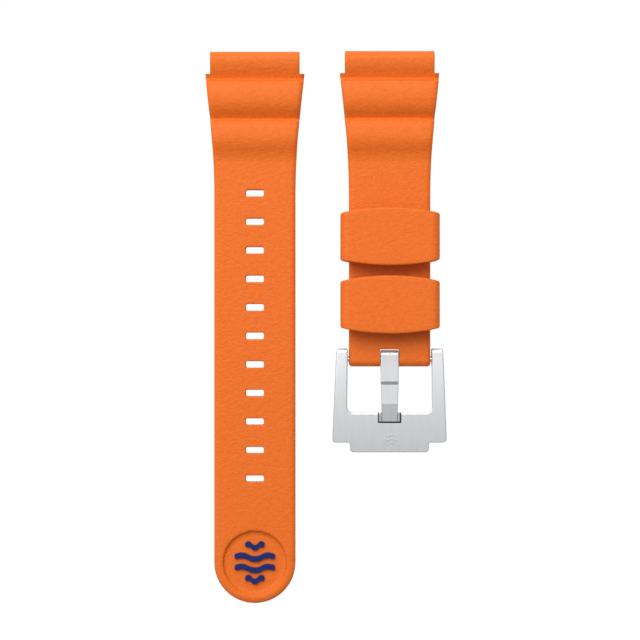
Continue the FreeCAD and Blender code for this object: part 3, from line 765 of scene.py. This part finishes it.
def satin_steel(name, base, roughness, notch):
    """Blasted and brushed steel: fine lines along the piece, soft streaks, and painted shade darkening its
    tight corners and the walls of the tang's notch.
    """
    material, tree, shader = new_material(name, base, roughness, metallic=0.75)
    lines = noise(tree, position(tree, (1, 0.03, 1)), size=0.09, detail=2.0)
    streaks = noise(tree, position(tree, (1, 0.09, 1)), size=1.1, detail=1.0)
    tree.links.new(remap(tree, lines, roughness - 0.05, roughness + 0.07), shader.inputs["Roughness"])
    darker = [value * 0.96 for value in base]
    soft = mix_colours(tree, remap(tree, streaks, 0, 1), darker, base)
    # Painted shade: a near-black colour mixed in where the steel's corners are tight and along the notch's
    # walls, standing in for shadow and dark reflection
    corners = add_node(tree, "ShaderNodeAmbientOcclusion", {"Distance": PAINTED_SHADE_REACH * MM}, samples=8)
    tint = add_node(tree, "ShaderNodeMix", data_type="RGBA")
    tight = remap(tree, corners.outputs["AO"], 1, 0)
    tree.links.new(calculate(tree, "MAXIMUM", tight, notch_shade_line(tree, *notch)), tint.inputs["Factor"])
    tree.links.new(soft, tint.inputs["A"])
    tint.inputs["B"].default_value = (*PAINTED_SHADE, 1)
    tree.links.new(tint.outputs["Result"], shader.inputs["Base Color"])
    add_bump(tree, shader, lines, distance=0.004, strength=0.6)
    return material


def turned_steel(name, base, roughness):
    """Steel turned on a lathe, with fine rings round the bar's own X axis."""
    material, tree, shader = new_material(name, base, roughness, metallic=1.0)
    rings = noise(tree, position(tree, (1, 0.02, 0.02)), size=0.08, detail=2.0)
    tree.links.new(remap(tree, rings, roughness - 0.05, roughness + 0.08), shader.inputs["Roughness"])
    add_bump(tree, shader, rings, distance=0.004, strength=0.5)
    return material


def finish_with(piece, material):
    piece.data.materials.clear()
    piece.data.materials.append(material)


# ---------------------------------------------------------------- the spring in the spring bar

def tube_faces(steps, around):
    """Faces of a tube whose rings of points follow one another, with a cap at each end."""
    faces = [tuple(range(around)), tuple(steps * around + n for n in reversed(range(around)))]
    for step in range(steps):
        for n in range(around):
            a = step * around + n
            b = step * around + (n + 1) % around
            faces.append((a, b, b + around, a + around))
    return faces


def make_half_coil(side, material):
    """Half of the spring, which its tip presses shorter. side is -1 on the left and 1 on the right."""
    low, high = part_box("spring_bar_coil")
    centre = (low + high) / 2
    reach = (high.x - low.x) / 2 / MM
    vertices = []
    for step in range(COIL_STEPS + 1):
        share = step / COIL_STEPS
        turn = share * COIL_TURNS * math.pi
        for spoke in range(COIL_SPOKES):
            angle = spoke * 2 * math.pi / COIL_SPOKES
            radius = COIL_RADIUS + COIL_WIRE_RADIUS * math.cos(angle)
            x = side * (share * (reach - COIL_WIRE_RADIUS) + COIL_WIRE_RADIUS * math.sin(angle))
            spot = Vector((x, radius * math.cos(turn), radius * math.sin(turn)))
            vertices.append(centre + spot * MM)
    faces = tube_faces(COIL_STEPS, COIL_SPOKES)
    name = f"spring_{'left' if side < 0 else 'right'}"
    mesh = bpy.data.meshes.new(name)
    mesh.from_pydata(vertices, [], faces)
    tidy(mesh)
    piece = new_piece(name, mesh, "short_strap", "spring_bar_coil")
    smooth(piece, 60)
    finish_with(piece, material)
    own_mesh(piece)


# ---------------------------------------------------------------- the buckle's wave mark

def make_mark(frame, name, row, reach, material):
    """One raised wave line on the buckle's outer face, a row of a plain mark."""
    node = frame["nodes"]["buckle_frame"]
    mesh = node.data
    tree = BVHTree.FromPolygons([v.co for v in mesh.vertices], [tuple(p.vertices) for p in mesh.polygons])
    low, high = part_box("buckle_frame")
    above = Vector(((low.x + high.x) / 2, low.y + MARK_FROM_END * MM, high.z + 5 * MM))
    vertices = []
    for x in np.linspace(-reach, reach, MARK_STEPS + 1):
        y = row + MARK_WAVE * math.sin(2 * math.pi * x / MARK_PERIOD)
        narrow = MARK_HALF_LINE * math.sqrt(max(1 - (x / reach) ** 8, 0.02))
        for across, up in MARK_SECTION:
            start = above + Vector((x * MM, (y + across * narrow) * MM, 0))
            hit = tree.ray_cast(start, Vector((0, 0, -1)))[0]
            vertices.append(hit + Vector((0, 0, up * MARK_RISE * MM)))
    line = bpy.data.meshes.new("mark")
    line.from_pydata(vertices, [], tube_faces(MARK_STEPS, len(MARK_SECTION)))
    tidy(line)
    piece = bpy.data.objects.new(name, line)
    bpy.context.scene.collection.objects.link(piece)
    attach(piece, "buckle")
    smooth(piece, 60)
    finish_with(piece, material)


# ---------------------------------------------------------------- studio

def make_floor(low):
    """A plain white surface just under the strap, which glows so that it stays white."""
    mesh = bpy.data.meshes.new("floor")
    work = bmesh.new()
    bmesh.ops.create_grid(work, x_segments=1, y_segments=1, size=2.0)
    work.to_mesh(mesh)
    work.free()
    floor = bpy.data.objects.new("floor", mesh)
    floor.location = (0, 0, low.z - FLOOR_GAP * MM)
    bpy.context.scene.collection.objects.link(floor)
    material, _, shader = new_material("white_floor", (0, 0, 0), 1.0)
    shader.inputs["Specular IOR Level"].default_value = 0
    shader.inputs["Emission Color"].default_value = (1, 1, 1, 1)
    shader.inputs["Emission Strength"].default_value = FLOOR_GLOW
    floor.data.materials.append(material)


def make_area_light(name, size, power, place, target):
    data = bpy.data.lights.new(name, "AREA")
    data.shape = "RECTANGLE"
    data.size, data.size_y = size
    data.energy = power
    light = bpy.data.objects.new(name, data)
    light.location = place
    light.rotation_euler = (Vector(target) - Vector(place)).to_track_quat("-Z", "Y").to_euler()
    bpy.context.scene.collection.objects.link(light)


def make_world(horizon, overhead):
    """A white sky with a soft bright patch overhead, which the flat steel reflects."""
    world = bpy.data.worlds.new("studio")
    world.use_nodes = True
    tree = world.node_tree
    background = tree.nodes["Background"]
    background.inputs["Color"].default_value = (1, 1, 1, 1)
    direction = add_node(tree, "ShaderNodeTexCoord")
    parts = add_node(tree, "ShaderNodeSeparateXYZ")
    tree.links.new(direction.outputs["Generated"], parts.inputs["Vector"])
    strength = remap(tree, parts.outputs["Z"], horizon, overhead, from_low=0.7, from_high=0.98)
    tree.links.new(strength, background.inputs["Strength"])
    bpy.context.scene.world = world


def make_camera(low, high):
    """Straight above, CAMERA_HEIGHT over the strap's face, which it sees VIEW_WIDTH wide."""
    data = bpy.data.cameras.new("camera")
    data.sensor_width = SENSOR
    data.lens = SENSOR * CAMERA_HEIGHT / VIEW_WIDTH
    data.clip_start = 0.01
    data.clip_end = 20
    camera = bpy.data.objects.new("camera", data)
    middle = (low + high) / 2
    across, along = CAMERA_SHIFT
    height = (THICKNESS + CAMERA_HEIGHT) * MM
    camera.location = (middle.x + across * MM, middle.y + along * MM, height)
    bpy.context.scene.collection.objects.link(camera)
    bpy.context.scene.camera = camera


# ---------------------------------------------------------------- the scene

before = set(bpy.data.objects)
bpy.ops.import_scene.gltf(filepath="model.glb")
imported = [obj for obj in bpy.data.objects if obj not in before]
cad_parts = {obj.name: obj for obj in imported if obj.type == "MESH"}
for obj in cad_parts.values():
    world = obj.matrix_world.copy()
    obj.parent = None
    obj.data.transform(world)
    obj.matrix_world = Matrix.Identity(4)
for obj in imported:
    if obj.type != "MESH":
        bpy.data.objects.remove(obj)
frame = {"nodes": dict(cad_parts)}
cad_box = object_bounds()
low, high = (Vector(corner) for corner in cad_box)

orange = rubber("orange_rubber", (0.71, 0.130, 0.010), (0.75, 0.150, 0.014), 0.55)
blue = rubber("blue_rubber", (0.001, 0.012, 0.11), (0.002, 0.016, 0.14), 0.5)
tang_low, tang_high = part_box("buckle_tang")
tang_middle = (tang_low.x + tang_high.x) / 2 / MM
notch = (tang_middle, NOTCH_HALF_WIDTH, tang_low.y / MM - NOTCH_END_GAP)
steel = satin_steel("buckle_steel", (0.79, 0.80, 0.82), 0.45, notch)
# The tang's steel is the buckle's steel painted darker: painted shade, so that its flat top reads less
# bright than the frame
tang_shaded_steel = satin_steel("tang_shaded_steel", (0.66, 0.67, 0.69), 0.45, notch)
bar_steel = turned_steel("spring_bar_steel", (0.66, 0.66, 0.67), 0.25)

long_low, long_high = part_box("long_strap")
short_low, short_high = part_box("short_strap")
lug_bore = (TONGUE_RADIUS, TONGUE_RADIUS, LUG_BORE_RADIUS, BORE_CUT_LENGTH)
long_length = (long_high.y - long_low.y) / MM
short_length = (short_high.y - short_low.y) / MM
bar_bore = (short_length - BAR_FROM_END, THICKNESS / 2, BAR_BORE_RADIUS, BORE_CUT_LENGTH)
finish_with(make_strap("long_strap", Half(long_length, holes=HOLE_COUNT), [lug_bore]), orange)
finish_with(make_strap("short_strap", Half(short_length, slotted=True), [lug_bore, bar_bore]), orange)
for keeper in ("keeper_upper", "keeper_lower"):
    finish_with(make_keeper(keeper), orange)
for name, node in frame["nodes"].items():
    if name.startswith("emblem_bar"):
        finish_with(node, blue)
    elif name.startswith("spring_bar"):
        finish_with(node, bar_steel)
    elif name == "buckle_tang":
        finish_with(node, tang_shaded_steel)
    elif name == "buckle_frame":
        finish_with(node, steel)
make_half_coil(-1, bar_steel)
make_half_coil(1, bar_steel)
make_mark(frame, "buckle_mark_upper", 1.0, 1.4, steel)
make_mark(frame, "buckle_mark_middle", 0.0, 1.9, steel)
make_mark(frame, "buckle_mark_lower", -1.0, 1.4, steel)

make_floor(low)
make_world(horizon=0.25, overhead=0.84)
make_area_light("north_softbox", size=(1.1, 0.75), power=10.8, place=(-0.25, 0.54, 0.67), target=(0, 0, 0))
make_camera(low, high)
bpy.context.scene.view_settings.view_transform = "Standard"
